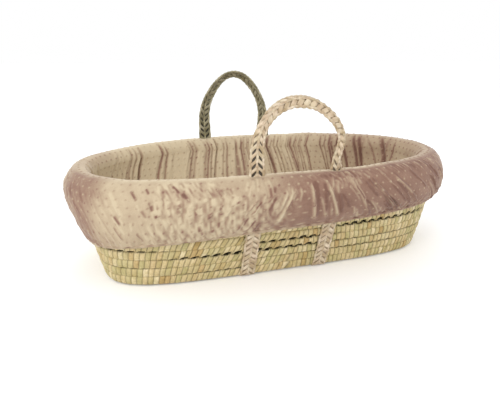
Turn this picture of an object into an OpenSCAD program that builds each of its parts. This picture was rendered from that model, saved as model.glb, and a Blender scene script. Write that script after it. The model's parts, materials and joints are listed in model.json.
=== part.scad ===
// A moses basket: coiled palm courses, four straps, two plaited carrying handles,
// a padded plush cover over the rim, and a mattress in a fitted sheet.
// Millimetres. +X runs along the basket, +Y to its far side and +Z up, with the
// origin on the ground under the middle of the basket.
// Layers are given as an offset from the outer face of the woven wall, and a height.

/* [Basket] */
// Half the length of the woven wall, at the ground
base_half_l = 355; // [300:5:420]
// Half the width of the woven wall, at the ground
base_half_w = 156; // [130:2:190]
// How far each end leans out between the ground and the rim
flare_end = 52; // [30:1:90]
// How far each side leans out between the ground and the rim
flare_side = 74; // [40:1:100]
// Squareness of the plan at the ground, where 2 is an ellipse
base_square = 4.5; // [2.6:0.1:5]
// Squareness of the plan at the rim
rim_square = 2.35; // [2:0.05:3.5]
// Number of courses in the wall
wall_courses = 10; // [7:1:12]
// Height of one course of the wall
course_h = 19; // [15:0.5:24]
// Thickness of the wall's courses
course_t = 9.5; // [6:0.5:13]
// Number of rings in the base, round its middle strip
base_courses = 7; // [4:1:8]
// Width of one ring of the base
base_course_w = 18.5; // [14:0.5:21]
// Thickness of the base
base_t = 7.7; // [5:0.1:12]
// Height of the braid that edges the rim
rim_h = 12; // [8:1:18]
// How far the rim braid stands out from the wall
rim_proud = 2; // [0:0.5:5]
// How far the rim braid stands in from the wall
rim_inside = 3.5; // [0:0.5:8]

/* [Handles and straps] */
// Half the distance between the feet of a handle
foot_half = 79; // [55:1:110]
// Shift of the near handle along the basket
near_shift = -8; // [-20:1:20]
// Shift of the far handle along the basket
far_shift = 2; // [-20:1:20]
// Rise of the near handle above its pivots
near_rise = 124; // [90:2:180]
// Rise of the far handle above its pivots
far_rise = 154; // [90:2:180]
// Squareness of the near handle's arch
near_arch = 3.2; // [2:0.1:5]
// Squareness of the far handle's arch
far_arch = 2.2; // [2:0.1:5]
// How much the legs of a handle bow out
leg_bow = 6; // [0:1:15]
// How much the legs of the near handle sway to the right, half-way up
near_sway = 5; // [0:1:10]
// Width of the handle's plait at its feet
plait_w = 30; // [22:1:36]
// Width of the handle's plait at the grip
grip_w = 27; // [20:1:36]
// Thickness of the handle's plait
plait_t = 8; // [6:0.5:12]
// Turn of the plait's face from upright at the foot to the grip
plait_turn = 65; // [0:5:90]
// Radius of the rolled foot that the handle turns on
foot_r = 5; // [4.6:0.1:8]
// Thickness of the straps down the wall
strap_t = 6; // [4:0.5:8]
// Thickness of the straps under the base
under_t = 3; // [3:0.5:8]

/* [Cover] */
// Height of the padded crest above the rim braid
crest_h = 16.6; // [10:0.2:25]
// Thickness of the plush fabric
fabric_t = 2; // [1:0.5:3]
// Thickness of the bumper at the rim, with its fabric
bumper_top = 24; // [14:1:34]
// Thickness of the bumper at the base, with its fabric
bumper_foot = 8; // [6:0.5:16]
// How far the skirt stands out from the wall at its fullest
skirt_out = 27; // [18:1:40]
// Share of that fullness at the two ends
end_share = 0.75; // [0.5:0.05:1]
// Height of the hem in the middle of the sides
hem_z = 110; // [85:1:125]
// How much the hem rises from one end of the basket to the middle
hem_tilt = 19; // [0:1:25]
// How much the hem droops at both ends
hem_droop = 9; // [0:1:15]
// Depth of the elastic in the hem
elastic_h = 6.2; // [4:0.2:10]

/* [Bedding] */
// Thickness of the mattress
mattress_t = 30; // [20:1:50]
// Thickness of the fitted sheet
sheet_t = 1.5; // [1:0.1:3]
// Width of the sheet's edge under the mattress
sheet_return = 30; // [15:1:60]
// Gap between the bedding and the bumper
bed_gap = 2.5; // [1:0.5:10]

/* [Hidden] */

gap = 0.4;                 // clearance between neighbouring pieces
sides = 56;                // flats round every oval
straw = [0.84, 0.77, 0.58];
pale_straw = [0.86, 0.78, 0.64];
plush = [0.72, 0.62, 0.51];
white_fibre = [0.93, 0.92, 0.88];

base_z = under_t + gap;                       // underside of the woven base
rim_z = base_z + wall_courses * course_h;     // top of the wall's courses
rim_top = rim_z + rim_h;
crest_z = rim_top + crest_h;
bed_z = base_z + base_t + gap;                // where the bedding lies
wall_in = -course_t;                          // inner face of the wall, as an offset
pivot_z = crest_z + foot_r + gap;             // axis that a handle swings on
crest_mid = -9;                               // offset of the crest's ridge

// Plan of the wall's outer face: half length, half width and squareness at a height
function lean(z) = min(z, rim_z) / rim_z;
function half_l(z) = base_half_l + flare_end * lean(z);
function half_w(z) = base_half_w + flare_side * lean(z);
function square_at(z) = base_square + (rim_square - base_square) * lean(z);
function curve(v, n) = sign(v) * pow(abs(v), 2 / n);

// A point of an oval at angle t: an offset from the wall's face, and a height
function oval_point(t, off, z) =
    let (n = square_at(z), end_off = off > 0 ? off * end_share : off)
    [(half_l(z) + end_off) * curve(cos(t), n), (half_w(z) + off) * curve(sin(t), n), z];

// A point of the wall's side at a distance x along the basket
function side_point(x, off, z, side) =
    let (n = square_at(z), y = half_w(z) * pow(1 - pow(abs(x) / half_l(z), n), 1 / n))
    [x, side * (y + off), z];

pivot_y = side_point(foot_half, crest_mid, rim_z, 1)[1];

// Rise of the hem at angle t, against its height in the middle of the sides
function hem_rise(t) = hem_tilt * curve(cos(t), rim_square) - hem_droop * pow(cos(t), 2);

// A ring round the basket. Each point of its profile is [offset, height, share of the
// hem's rise], and the profile runs anticlockwise with the offset to the right. Every
// face is split along the same diagonal, so that nested rings keep their clearance.
module ring(profile) {
    count = len(profile);
    points = [for (i = [0:sides - 1], p = profile)
        let (t = i * 360 / sides) oval_point(t, p[0], p[1] + p[2] * hem_rise(t))];
    faces = [for (i = [0:sides - 1], j = [0:count - 1])
        let (up = (j + 1) % count, next = (i + 1) % sides * count,
             a = i * count + j, b = i * count + up, c = next + up, d = next + j)
        each profile[up][1] >= profile[j][1] ? [[a, b, c], [a, c, d]] : [[a, b, d], [b, c, d]]];
    polyhedron(points, faces);
}

// A tube through a list of sections, each a list of points, with both ends closed
module loft(sections) {
    count = len(sections[0]);
    last = len(sections) - 1;
    polyhedron([for (s = sections, p = s) p], concat(
        [[for (j = [0:count - 1]) j]],
        [[for (j = [count - 1:-1:0]) last * count + j]],
        [for (i = [0:last - 1], j = [0:count - 1]) let (up = (j + 1) % count)
            each [[i * count + j, (i + 1) * count + j, (i + 1) * count + up],
                  [i * count + j, (i + 1) * count + up, i * count + up]]]));
}

// An oval plate or prism, with half sizes a and b
module oval(a, b, n, h) {
    linear_extrude(h) polygon([for (i = [0:sides - 1]) let (t = i * 360 / sides)
        [a * curve(cos(t), n), b * curve(sin(t), n)]]);
}

// ---- woven base and wall ----
floor_a = half_l(base_z) + wall_in - gap;
floor_b = half_w(base_z) + wall_in - gap;
floor_square = square_at(base_z);

module base_ring(k) {
    color(straw) translate([0, 0, base_z]) difference() {
        oval(floor_a - (k - 1) * base_course_w, floor_b - (k - 1) * base_course_w,
             floor_square, base_t);
        translate([0, 0, -1]) oval(floor_a - k * base_course_w + gap,
             floor_b - k * base_course_w + gap, floor_square, base_t + 2);
    }
}

module base_core() {
    color(straw) translate([0, 0, base_z])
        oval(floor_a - base_courses * base_course_w, floor_b - base_courses * base_course_w,
             floor_square, base_t);
}

module wall_course(k) {
    low = base_z + (k - 1) * course_h;
    high = low + course_h - gap;
    color(straw) ring([[wall_in, low, 0], [0, low, 0], [0, high, 0], [wall_in, high, 0]]);
}

module rim_braid() {
    inside = wall_in - rim_inside;
    belly = rim_h / 3;
    color(pale_straw) ring([[inside + belly / 2, rim_z, 0], [rim_proud - belly / 2, rim_z, 0],
        [rim_proud, rim_z + belly, 0], [rim_proud, rim_top - belly, 0],
        [rim_proud - belly / 2, rim_top, 0], [inside + belly / 2, rim_top, 0],
        [inside, rim_top - belly, 0], [inside, rim_z + belly, 0]]);
}

// ---- straps ----
// Stations of a wall strap, from the ground to the crest: inner and outer [offset, height]
strap_path = [
    for (z = [0, rim_z / 4, rim_z / 2, rim_z * 3 / 4]) [[gap, z], [gap + strap_t, z]],
    [[gap, rim_z - 8], [gap + strap_t, rim_z - 9]],
    [[rim_proud + gap, rim_z + 1], [rim_proud + gap + strap_t, rim_z]],
    [[rim_proud + gap, rim_top], [rim_proud + gap + strap_t, rim_top + 3]],
    [[rim_proud - 4, rim_top + 2], [rim_proud + 3, rim_top + 9]],
    [[crest_mid - plait_t / 2, rim_top + 5], [crest_mid + plait_t / 2, crest_z - 5]],
    [[crest_mid - plait_t / 2, crest_z - 0.8], [crest_mid + plait_t / 2, crest_z - 0.8]]];

// One wall strap on a side, -1 near and +1 far; grow makes its clearance tool
module wall_strap(x, side, grow = 0) {
    w = plait_w / 2 + grow;
    tip = len(strap_path) - 1;
    loft([for (i = [0:tip]) let (s = strap_path[i], up = i == tip ? 4 * grow : 0)
        [side_point(x - w * side, s[0][0] - grow, s[0][1] + up, side),
         side_point(x + w * side, s[0][0] - grow, s[0][1] + up, side),
         side_point(x + w * side, s[1][0] + grow, s[1][1] + up, side),
         side_point(x - w * side, s[1][0] + grow, s[1][1] + up, side)]]);
}

// Where the four straps run: [distance along the basket, side]
near_left = [near_shift - foot_half, -1];
near_right = [near_shift + foot_half, -1];
far_left = [far_shift - foot_half, 1];
far_right = [far_shift + foot_half, 1];

module strap(place) {
    color(pale_straw) wall_strap(place[0], place[1]);
}

module under_strap(near, far) {
    reach = side_point(foot_half + plait_w, -gap, 0, 1)[1];
    color(pale_straw) linear_extrude(under_t) polygon([
        [near[0] - plait_w / 2, -reach], [near[0] + plait_w / 2, -reach],
        [far[0] + plait_w / 2, reach], [far[0] - plait_w / 2, reach]]);
}

// ---- handles ----
// A point on a handle's centre line, from the left foot at 0 to the right foot at 180
function arch_point(t, rise, arch, sway) =
    let (up = pow(max(sin(t), 0), 2 / arch), middle = pow(sin(180 * up), 2))
    [sway * middle - (foot_half + leg_bow * middle) * cos(t), 0, rise * up];

// One section of the plait: its face turns from outwards at the feet to the grip's tilt
function plait_section(t, rise, arch, sway, side) =
    let (a = arch_point(max(t - 1, 0), rise, arch, sway),
         b = arch_point(min(t + 1, 180), rise, arch, sway),
         along = (b - a) / norm(b - a),
         out = [-along[2], 0, along[0]],
         turn = 90 - plait_turn * pow(sin(t), 2),
         face = out * cos(turn) + [0, side, 0] * sin(turn),
         wide = cross(face, along),
         w = (plait_w + (grip_w - plait_w) * sin(t)) / 2, h = plait_t / 2,
         c = h / 2, m = arch_point(t, rise, arch, sway))
    [for (q = [[-w, -h + c], [-w + c, -h], [w - c, -h], [w, -h + c],
               [w, h - c], [w - c, h], [-w + c, h], [-w, h - c]])
        m + wide * q[0] + face * q[1]];

module handle(rise, arch, sway, side) {
    loft([for (i = [0:30]) plait_section(i * 6, rise, arch, sway, side)]);
    for (x = [-foot_half, foot_half])
        translate([x, 0, 0]) rotate([0, 90, 0])
            cylinder(r = foot_r, h = plait_w + gap, center = true, $fn = 48);
}

module near_handle() {
    color(pale_straw) translate([near_shift, -pivot_y, pivot_z])
        handle(near_rise, near_arch, near_sway, -1);
}

module far_handle() {
    color(pale_straw) translate([far_shift, pivot_y, pivot_z])
        handle(far_rise, far_arch, 0, 1);
}

// ---- padded cover ----
// The cover's outer surface, from the foot of the bumper over the crest to the hem
bumper_in = wall_in - bumper_top;
foot_in = wall_in - bumper_foot;
hem_top = hem_z + elastic_h + gap;
cover_chain = [
    [foot_in, bed_z, 0],
    [foot_in - 4, bed_z + 0.25 * (rim_z - bed_z), 0],
    [foot_in - 11, bed_z + 0.58 * (rim_z - bed_z), 0],
    [bumper_in, rim_z - 12, 0],
    [bumper_in - 1.5, rim_z + 2, 0],
    [bumper_in + 1, rim_top + 1.5, 0],
    [bumper_in + 10, crest_z - 3, 0],
    [crest_mid, crest_z, 0],
    [crest_mid + 13, crest_z - 3.7, 0],
    [crest_mid + 24, crest_z - 13, 0],
    [skirt_out - 4, rim_z + 2, 0],
    [skirt_out, rim_z - 14, 0],
    [skirt_out - 1, rim_z - 38, 0.1],
    [skirt_out - 6, hem_top + 18, 0.6],
    [gap + strap_t + fabric_t + 2, hem_top, 1]];
seam = 5;                  // where the inner panel is sewn to the skirt
hem = len(cover_chain) - 1;

// Point i of the chain moved a depth d into the padding, square to the surface
function pushed(i, d) =
    let (a = cover_chain[max(i - 1, 0)], b = cover_chain[min(i + 1, hem)],
         run = [b[0] - a[0], b[1] - a[1]], n = [run[1], -run[0]] / norm(run))
    [cover_chain[i][0] + n[0] * d, cover_chain[i][1] + n[1] * d, cover_chain[i][2]];
function level(p, z) = [p[0], z, p[2]];
function backwards(list) = [for (i = [len(list) - 1:-1:0]) list[i]];
function slide(p, q, share) = p + (q - p) * share;

module inner_panel() {
    face = [for (i = [0:seam]) pushed(i, 0)];
    back = [for (i = [0:seam]) pushed(i, fabric_t)];
    color(plush) ring(backwards(concat(face,
        backwards(concat([level(back[0], bed_z)], [for (i = [1:seam]) back[i]])))));
}

module skirt_panel() {
    start = gap / norm(pushed(seam + 1, 0) - pushed(seam, 0));
    face = concat([slide(pushed(seam, 0), pushed(seam + 1, 0), start)],
        [for (i = [seam + 1:hem]) pushed(i, 0)]);
    back = concat([slide(pushed(seam, fabric_t), pushed(seam + 1, fabric_t), start)],
        [for (i = [seam + 1:hem - 1]) pushed(i, fabric_t)],
        [[gap + strap_t + gap, hem_top + 17, 0.6], [gap + strap_t + gap, hem_top, 1]]);
    color(plush) difference() {
        ring(backwards(concat(face, backwards(back))));
        strap_room();
    }
}

// The wadding over the rim: it fills the skirt and rests on the rim braid and the wall
module rim_wadding() {
    skin = fabric_t + gap;
    outer = [for (i = [seam - 2:hem - 2]) pushed(i, skin)];
    rest = gap + strap_t + gap;
    inner = [[rest, rim_z - 37, 0.1], [rest, rim_z - 9, 0], [rim_proud + gap, rim_z + 1, 0],
        [rim_proud + gap, rim_top + gap, 0], [wall_in - rim_inside - gap, rim_top + gap, 0],
        [wall_in - rim_inside - gap, rim_z - 12 + gap, 0]];
    color(white_fibre) difference() {
        ring(backwards(concat([level(outer[0], rim_z - 12 + gap)],
            [for (i = [1:len(outer) - 1]) outer[i]], inner)));
        strap_room();
    }
}

module bumper_wadding() {
    skin = fabric_t + gap;
    back = wall_in - gap;
    color(white_fibre) ring([[back, bed_z, 0], [back, rim_z - 12, 0],
        level(pushed(3, skin), rim_z - 12), pushed(2, skin), pushed(1, skin),
        level(pushed(0, skin), bed_z)]);
}

module hem_elastic() {
    inside = gap + strap_t + gap;
    color(plush) ring([[inside, hem_z, 1], [inside + fabric_t + 1, hem_z, 1],
        [inside + fabric_t + 1, hem_z + elastic_h, 1], [inside, hem_z + elastic_h, 1]]);
}

// The room that the straps take inside the wadding and through the slits
module strap_room() {
    for (place = [near_left, near_right, far_left, far_right])
        wall_strap(place[0], place[1], 2 * gap);
}

// ---- bedding ----
sheet_a = half_l(bed_z) + foot_in - bed_gap;
sheet_b = half_w(bed_z) + foot_in - bed_gap;
bed_square = square_at(bed_z);

module mattress() {
    skin = sheet_t + gap;
    color(white_fibre) translate([0, 0, bed_z + skin])
        oval(sheet_a - skin, sheet_b - skin, bed_square, mattress_t);
}

module fitted_sheet() {
    skin = sheet_t;
    room = mattress_t + 2 * gap;
    color(plush) translate([0, 0, bed_z]) difference() {
        oval(sheet_a, sheet_b, bed_square, room + 2 * skin);
        translate([0, 0, skin]) oval(sheet_a - skin, sheet_b - skin, bed_square, room);
        translate([0, 0, -1]) oval(sheet_a - sheet_return, sheet_b - sheet_return,
                                   bed_square, skin + 2);
    }
}

base_core();
for (i = [1:base_courses])
    base_ring(i);
for (i = [1:wall_courses])
    wall_course(i);
rim_braid();
under_strap(near_left, far_left);  // under_strap_left
under_strap(near_right, far_right);  // under_strap_right
strap(near_left);  // strap_near_left
strap(near_right);  // strap_near_right
strap(far_left);  // strap_far_left
strap(far_right);  // strap_far_right
near_handle();
far_handle();
bumper_wadding();
rim_wadding();
inner_panel();
skirt_panel();
hem_elastic();
mattress();
fitted_sheet();
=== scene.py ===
# %% [markdown]
# # A moses basket
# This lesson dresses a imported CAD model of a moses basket. The CAD pieces are plain
# rings and pads; each one is replaced here by the thing itself: courses of grass
# wrapped in palm leaf, plaited straps and handles, and a plush cover over padding.
# Everything is in metres, with +X along the basket and +Z up.

# %% Load the frame
import json
import math

import bmesh
import bpy
import numpy as np
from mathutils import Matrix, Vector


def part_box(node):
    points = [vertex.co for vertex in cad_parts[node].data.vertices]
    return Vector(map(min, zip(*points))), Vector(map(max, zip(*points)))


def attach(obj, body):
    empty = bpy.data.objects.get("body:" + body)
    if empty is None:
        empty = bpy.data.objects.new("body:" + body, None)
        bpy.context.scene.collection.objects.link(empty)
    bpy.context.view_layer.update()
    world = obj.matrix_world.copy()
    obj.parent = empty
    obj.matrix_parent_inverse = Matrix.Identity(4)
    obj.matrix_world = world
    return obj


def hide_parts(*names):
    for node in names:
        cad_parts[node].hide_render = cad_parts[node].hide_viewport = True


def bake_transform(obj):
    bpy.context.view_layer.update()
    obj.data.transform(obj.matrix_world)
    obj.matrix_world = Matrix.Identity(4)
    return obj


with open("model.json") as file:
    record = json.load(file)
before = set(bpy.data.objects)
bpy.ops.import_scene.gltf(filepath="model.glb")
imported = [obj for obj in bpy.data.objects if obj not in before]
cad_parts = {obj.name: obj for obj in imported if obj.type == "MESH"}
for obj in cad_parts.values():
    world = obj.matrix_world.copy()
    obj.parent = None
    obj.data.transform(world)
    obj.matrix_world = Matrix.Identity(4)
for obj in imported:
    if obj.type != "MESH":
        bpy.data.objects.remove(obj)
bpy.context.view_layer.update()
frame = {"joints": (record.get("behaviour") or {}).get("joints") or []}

# %% [markdown]
# ## Camera, lights and floor
# The camera looks down a little on the near left corner. It is set by what it aims at,
# how far away it stands and its two angles, so each can be changed by itself. The
# lens shift lowers the horizon slightly without tilting the upright edges.

# %% Camera
AIM = np.array([-0.027, 0.0, 0.100])
CAMERA_AZIMUTH, CAMERA_ELEVATION = math.radians(-18.5), math.radians(17.15)
CAMERA_DISTANCE, LENS_MM, LENS_SHIFT = 1.103, 34.6, -0.0094
toward_camera = np.array([
    math.sin(CAMERA_AZIMUTH) * math.cos(CAMERA_ELEVATION),
    -math.cos(CAMERA_AZIMUTH) * math.cos(CAMERA_ELEVATION),
    math.sin(CAMERA_ELEVATION)])
camera = bpy.data.objects.new("camera", bpy.data.cameras.new("camera"))
bpy.context.scene.collection.objects.link(camera)
camera.location = AIM + CAMERA_DISTANCE * toward_camera
camera.rotation_euler = (math.pi / 2 - CAMERA_ELEVATION, 0.0, CAMERA_AZIMUTH)
camera.data.lens = LENS_MM
camera.data.shift_y = LENS_SHIFT
bpy.context.scene.camera = camera
print("camera at", [round(v, 3) for v in camera.location])

# %% [markdown]
# A soft studio is one large key light on the left, a weaker one on the right and a
# bright white world. Large lights give soft edges to the shadows, which is how
# a product is usually lit.

# %% Lights and world
def soft_box(name, place, size, power, target=(0.0, 0.0, 0.1)):
    """A square area light at place, turned so that it shines at target."""
    lamp = bpy.data.objects.new(name, bpy.data.lights.new(name, "AREA"))
    lamp.data.size, lamp.data.energy = size, power
    lamp.location = place
    direction = np.array(target) - np.array(place)
    flat = math.hypot(direction[0], direction[1])
    lamp.rotation_euler = (math.atan2(flat, -direction[2]), 0.0,
                           math.atan2(direction[1], direction[0]) - math.pi / 2)
    bpy.context.scene.collection.objects.link(lamp)


soft_box("key_light", (-1.6, -1.5, 1.9), 1.2, 27)
soft_box("fill_light", (1.9, -1.3, 1.2), 1.6, 7)
soft_box("back_light", (0.3, 1.9, 1.9), 1.5, 9)
world = bpy.data.worlds.new("studio")
world.use_nodes = True
world.node_tree.nodes["Background"].inputs["Color"].default_value = (1.0, 1.0, 1.0, 1.0)
world.node_tree.nodes["Background"].inputs["Strength"].default_value = 1.0
bpy.context.scene.world = world
bpy.context.scene.view_settings.view_transform = "Standard"

# %% [markdown]
# The floor is a plain pale sheet, wide enough to fill every view.

# %% Floor
def new_object(name, points, faces, smooth=True):
    """A mesh object from arrays of points and of faces with equal corners."""
    mesh = bpy.data.meshes.new(name)
    points, faces = np.asarray(points, np.float32), np.asarray(faces, np.int32)
    mesh.vertices.add(len(points))
    mesh.vertices.foreach_set("co", points.ravel())
    mesh.loops.add(faces.size)
    mesh.loops.foreach_set("vertex_index", faces.ravel())
    mesh.polygons.add(len(faces))
    mesh.polygons.foreach_set("loop_start", np.arange(len(faces), dtype=np.int32) * faces.shape[1])
    mesh.update(calc_edges=True)
    mesh.polygons.foreach_set("use_smooth", np.full(len(faces), smooth))
    mesh.validate()
    made = bpy.data.objects.new(name, mesh)
    bpy.context.scene.collection.objects.link(made)
    return made


def grid_faces(rows, columns, wrap_rows=False, wrap_columns=False):
    """Quads between the neighbours of a grid of rows and columns of points."""
    r = np.arange(rows if wrap_rows else rows - 1)[:, None]
    c = np.arange(columns if wrap_columns else columns - 1)[None, :]
    r2, c2 = (r + 1) % rows, (c + 1) % columns
    quad = [r * columns + c, r2 * columns + c, r2 * columns + c2, r * columns + c2]
    return np.stack(np.broadcast_arrays(*quad), -1).reshape(-1, 4)


FLOOR_HALF = 30.0
floor = new_object("floor", [[-FLOOR_HALF, -FLOOR_HALF, 0], [FLOOR_HALF, -FLOOR_HALF, 0],
                             [FLOOR_HALF, FLOOR_HALF, 0], [-FLOOR_HALF, FLOOR_HALF, 0]],
                   [[0, 1, 2, 3]], smooth=False)


def new_material(name, color, roughness, sheen=0.0, sheen_tint=(1, 1, 1), sheen_roughness=0.4):
    """A Principled material with its constant values on the shader's own sockets."""
    material = bpy.data.materials.new(name)
    material.use_nodes = True
    shader = material.node_tree.nodes["Principled BSDF"]
    shader.inputs["Base Color"].default_value = (*color, 1.0)
    shader.inputs["Roughness"].default_value = roughness
    shader.inputs["Sheen Weight"].default_value = sheen
    shader.inputs["Sheen Tint"].default_value = (*sheen_tint, 1.0)
    shader.inputs["Sheen Roughness"].default_value = sheen_roughness
    return material, material.node_tree, shader


floor_white, _, floor_shader = new_material("pale_floor", (0.90, 0.90, 0.90), 0.9)
floor_shader.inputs["Emission Color"].default_value = (1.0, 1.0, 1.0, 1.0)
floor_shader.inputs["Emission Strength"].default_value = 0.12
floor.data.materials.append(floor_white)
print("floor", 2 * FLOOR_HALF, "m wide")

# %% [markdown]
# ## The plan of the basket
# Seen from above the basket is a superellipse: nearly a rounded rectangle on the
# ground, and nearly an ellipse at the rim. Its half length and half width grow evenly
# with height, so they come from the boxes of the first and last wall courses.

# %% Plan of the wall
BASE_SQUARE, RIM_SQUARE, END_SHARE = 4.5, 2.35, 0.75
OVAL_STEPS = 8001            # fine steps, enough to measure the way round to a hair
first_top, last_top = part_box("wall_course_1")[1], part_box("wall_course_10")[1]
RIM_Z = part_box("rim_braid")[0][2]
BASE_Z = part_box("base_course_1")[0][2]
RIM_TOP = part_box("rim_braid")[1][2]
CREST_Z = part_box("skirt_panel")[1][2]


def half_sizes(z):
    """Half length and half width of the wall's outer face at height z, on two straight lines."""
    share = (np.minimum(z, RIM_Z) - first_top[2]) / (last_top[2] - first_top[2])
    return (first_top[0] + share * (last_top[0] - first_top[0]),
            first_top[1] + share * (last_top[1] - first_top[1]))


def squareness(z):
    """The superellipse's power at height z, falling evenly from the ground to the rim."""
    return BASE_SQUARE + (RIM_SQUARE - BASE_SQUARE) * np.minimum(z, RIM_Z) / RIM_Z


def curve(value, power):
    """The signed power 2/power of a sine or cosine, which squares off a circle."""
    return np.sign(value) * np.abs(value) ** (2 / power)


def oval(t, out, z):
    """Points at angle t, a distance out from the wall's face, at height z."""
    t, out, z = np.broadcast_arrays(t, out, z)
    a, b = half_sizes(z)
    n = squareness(z)
    x = (a + np.where(out > 0, out * END_SHARE, out)) * curve(np.cos(t), n)
    return np.stack([x, (b + out) * curve(np.sin(t), n), z], -1)


def full_turn(count):
    """count angles that share one full turn evenly, from 0."""
    return np.linspace(0, 2 * np.pi, count, endpoint=False)


def run_length(line):
    """How far along a line of points each point lies, from 0 at its start."""
    return np.concatenate([[0], np.cumsum(np.linalg.norm(np.diff(line, axis=0), axis=1))])


def even_angles(wanted, out, z):
    """The oval's angles at the wanted shares of the way round, and how long the way is. A
    whole number stands for that many shares spaced evenly."""
    fine = np.linspace(0, 2 * np.pi, OVAL_STEPS)
    length = run_length(oval(fine, out, z))
    shares = (np.asarray(wanted) if np.ndim(wanted) else np.arange(wanted) / wanted) % 1
    return np.interp(shares * length[-1], length, fine), length[-1]


def straight_out(x, y, a, b, n):
    """The x and y of the direction out of a superellipse with half sizes a and b and power n.
    It is the gradient, |x|^(n - 1) / a and |y|^(n - 1) / b, scaled to length one."""
    gx, gy = np.sign(x) * np.abs(x) ** (n - 1) / a, np.sign(y) * np.abs(y) ** (n - 1) / b
    size = np.hypot(gx, gy) + 1e-12
    return gx / size, gy / size


def plan_normal(t, z):
    """The direction straight out of the wall in plan, at angle t and height z."""
    n = squareness(z)
    gx, gy = straight_out(curve(np.cos(t), n), curve(np.sin(t), n), *half_sizes(z), n)
    return np.stack([gx, gy, np.zeros_like(gx)], -1)


print("wall: half sizes at the ground", [round(float(v), 3) for v in half_sizes(0.0)],
      "and at the rim", [round(float(v), 3) for v in half_sizes(RIM_Z)])

# %% [markdown]
# ## Palm courses
# Each course is a bundle of grass wrapped round and round with palm leaf. Every turn
# of leaf makes a puffy pad that leans a little and overlaps the pad before it, and it
# pinches the bundle, so small gaps open between one course and the next; their mouths
# are painted dark as shade. The whole course is one grid: along the basket and round the bundle.

# %% Wrapped course
def mark(made, name, values):
    """Stores one number per point as an attribute that a material can read."""
    layer = made.data.attributes.new(name, "FLOAT", "POINT")
    layer.data.foreach_set("value", np.asarray(values, np.float32).ravel())


def unwrap(made, u, v):
    """Gives each point its own u and v, in metres, as the piece's UV map."""
    layer = made.data.uv_layers.new(name="UVMap")
    corner = np.empty(len(made.data.loops), np.int32)
    made.data.loops.foreach_get("vertex_index", corner)
    both = np.stack([np.ravel(u)[corner], np.ravel(v)[corner]], -1)
    layer.data.foreach_set("uv", both.astype(np.float32).ravel())


def step_up(value, low, high):
    """0 below low, 1 above high, and the cubic 3t^2 - 2t^3 between them."""
    t = np.clip((value - low) / (high - low), 0, 1)
    return t * t * (3 - 2 * t)


def pillow(u):
    """A half circle over one wrap: the root of 1 - (2u - 1)^2, so 0 at both edges."""
    return np.sqrt(np.clip(1 - (2 * u - 1) ** 2, 0, 1))


COURSE_T = 0.0095                        # a course from its inner to its outer face
WRAP_PITCH = 0.0104                      # one wrap of leaf, along the course
PAD_PUFF, PAD_STEP = 0.0021, 0.0008      # how far a pad stands out, and its overlap
COURSE_LAP = 0.0011                      # how far neighbouring courses press into each other
GAP_FULL = 0.0020                        # a gap at least this wide gets its mouth painted nearly black, as shade


def wrapped_course(name, place, half_out, half_up, wraps, seed, gap_low, gap_high,
                   columns=12, facets=20, slant=0.12):
    """A ring of wraps round a bundle. place(s, out, up) gives the point at the share s of
    the way round, moved out and up in the bundle's section, which is a superellipse. A
    pad's height is half a circle across the wrap plus a slope that makes the overlap. The
    courses are stitched at every second wrap, so one gap spans a pair of wraps."""
    rng = np.random.default_rng(seed)
    u = np.concatenate([np.linspace(0, 0.94, columns - 1), [0.985]])
    wrap, u = np.arange(wraps * columns) // columns, np.tile(u, wraps)
    turn = full_turn(facets)[None, :]
    cos, sin = curve(np.cos(turn), 2.7), curve(np.sin(turn), 2.7)
    size = rng.uniform(0.85, 1.15, wraps)[wrap][:, None]
    tilt = rng.uniform(0.6, 1.4, wraps)[wrap][:, None]
    u_col = u[:, None]
    pad = PAD_PUFF * size * pillow(u_col) + PAD_STEP * tilt * (1 - u_col)
    s = ((wrap + u)[:, None] + slant * sin) / wraps
    pair = ((wrap % 2) + u)[:, None] / 2
    stitch = rng.uniform(0.75, 1.2, wraps // 2 + 1)[wrap // 2][:, None]
    open_share = step_up(pair, 0.10, 0.22) * (1 - step_up(pair, 0.84, 0.92)) * (0.45 + 0.55 * pair)
    low, high = gap_low(s) * stitch * open_share, gap_high(s) * stitch * open_share
    up = (half_up + COURSE_LAP) * sin
    up = up + np.where(sin < 0, -sin, 0) * low - np.where(sin > 0, sin, 0) * high
    points = place(s, half_out * cos + pad * cos, up)
    made = new_object(name, points.reshape(-1, 3), grid_faces(len(u), facets, True, True))
    # Painted shade in the shade attribute: each wrap darkens towards its edges, the mouths of open gaps
    # are painted nearly black, and the top and bottom of the bundle, where it meets the next course, are
    # darker.
    edge = np.minimum(u_col, 1 - u_col)
    crease = 1 - 0.48 * (1 - step_up(edge, 0.0, 0.16)) * np.ones_like(sin)
    gap = np.clip((low * (sin < 0) + high * (sin > 0)) / GAP_FULL, 0, 1)
    gap_mouth_shade = step_up(np.abs(sin), 0.75, 0.99) * gap
    mark(made, "shade", crease * (1 - 0.93 * gap_mouth_shade) * (1 - 0.25 * step_up(np.abs(sin), 0.8, 1.0)))
    mark(made, "tint", np.broadcast_to(rng.random(wraps)[wrap][:, None], s.shape))
    mark(made, "amber", np.broadcast_to((0.8 * rng.random(wraps) ** 7)[wrap][:, None], s.shape))
    unwrap(made, np.broadcast_to(s * (WRAP_PITCH * wraps), points.shape[:2]),
           np.broadcast_to(half_up * turn, points.shape[:2]))
    return made


def wall_place(low_z, high_z):
    """The place function of a wall course: it follows the leaning wall."""
    middle = (low_z + high_z) / 2

    def place(s, out, up):
        t, _ = even_angles(s.ravel(), -COURSE_T / 2, middle)
        t = t.reshape(s.shape)
        return oval(t, -COURSE_T / 2, middle + up) + plan_normal(t, middle + up) * out[..., None]
    return place


# %% [markdown]
# The gaps between courses are not alike. Some rows of them stand wide open along the
# sides, others have nearly closed, and they shrink towards the round ends.

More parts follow.
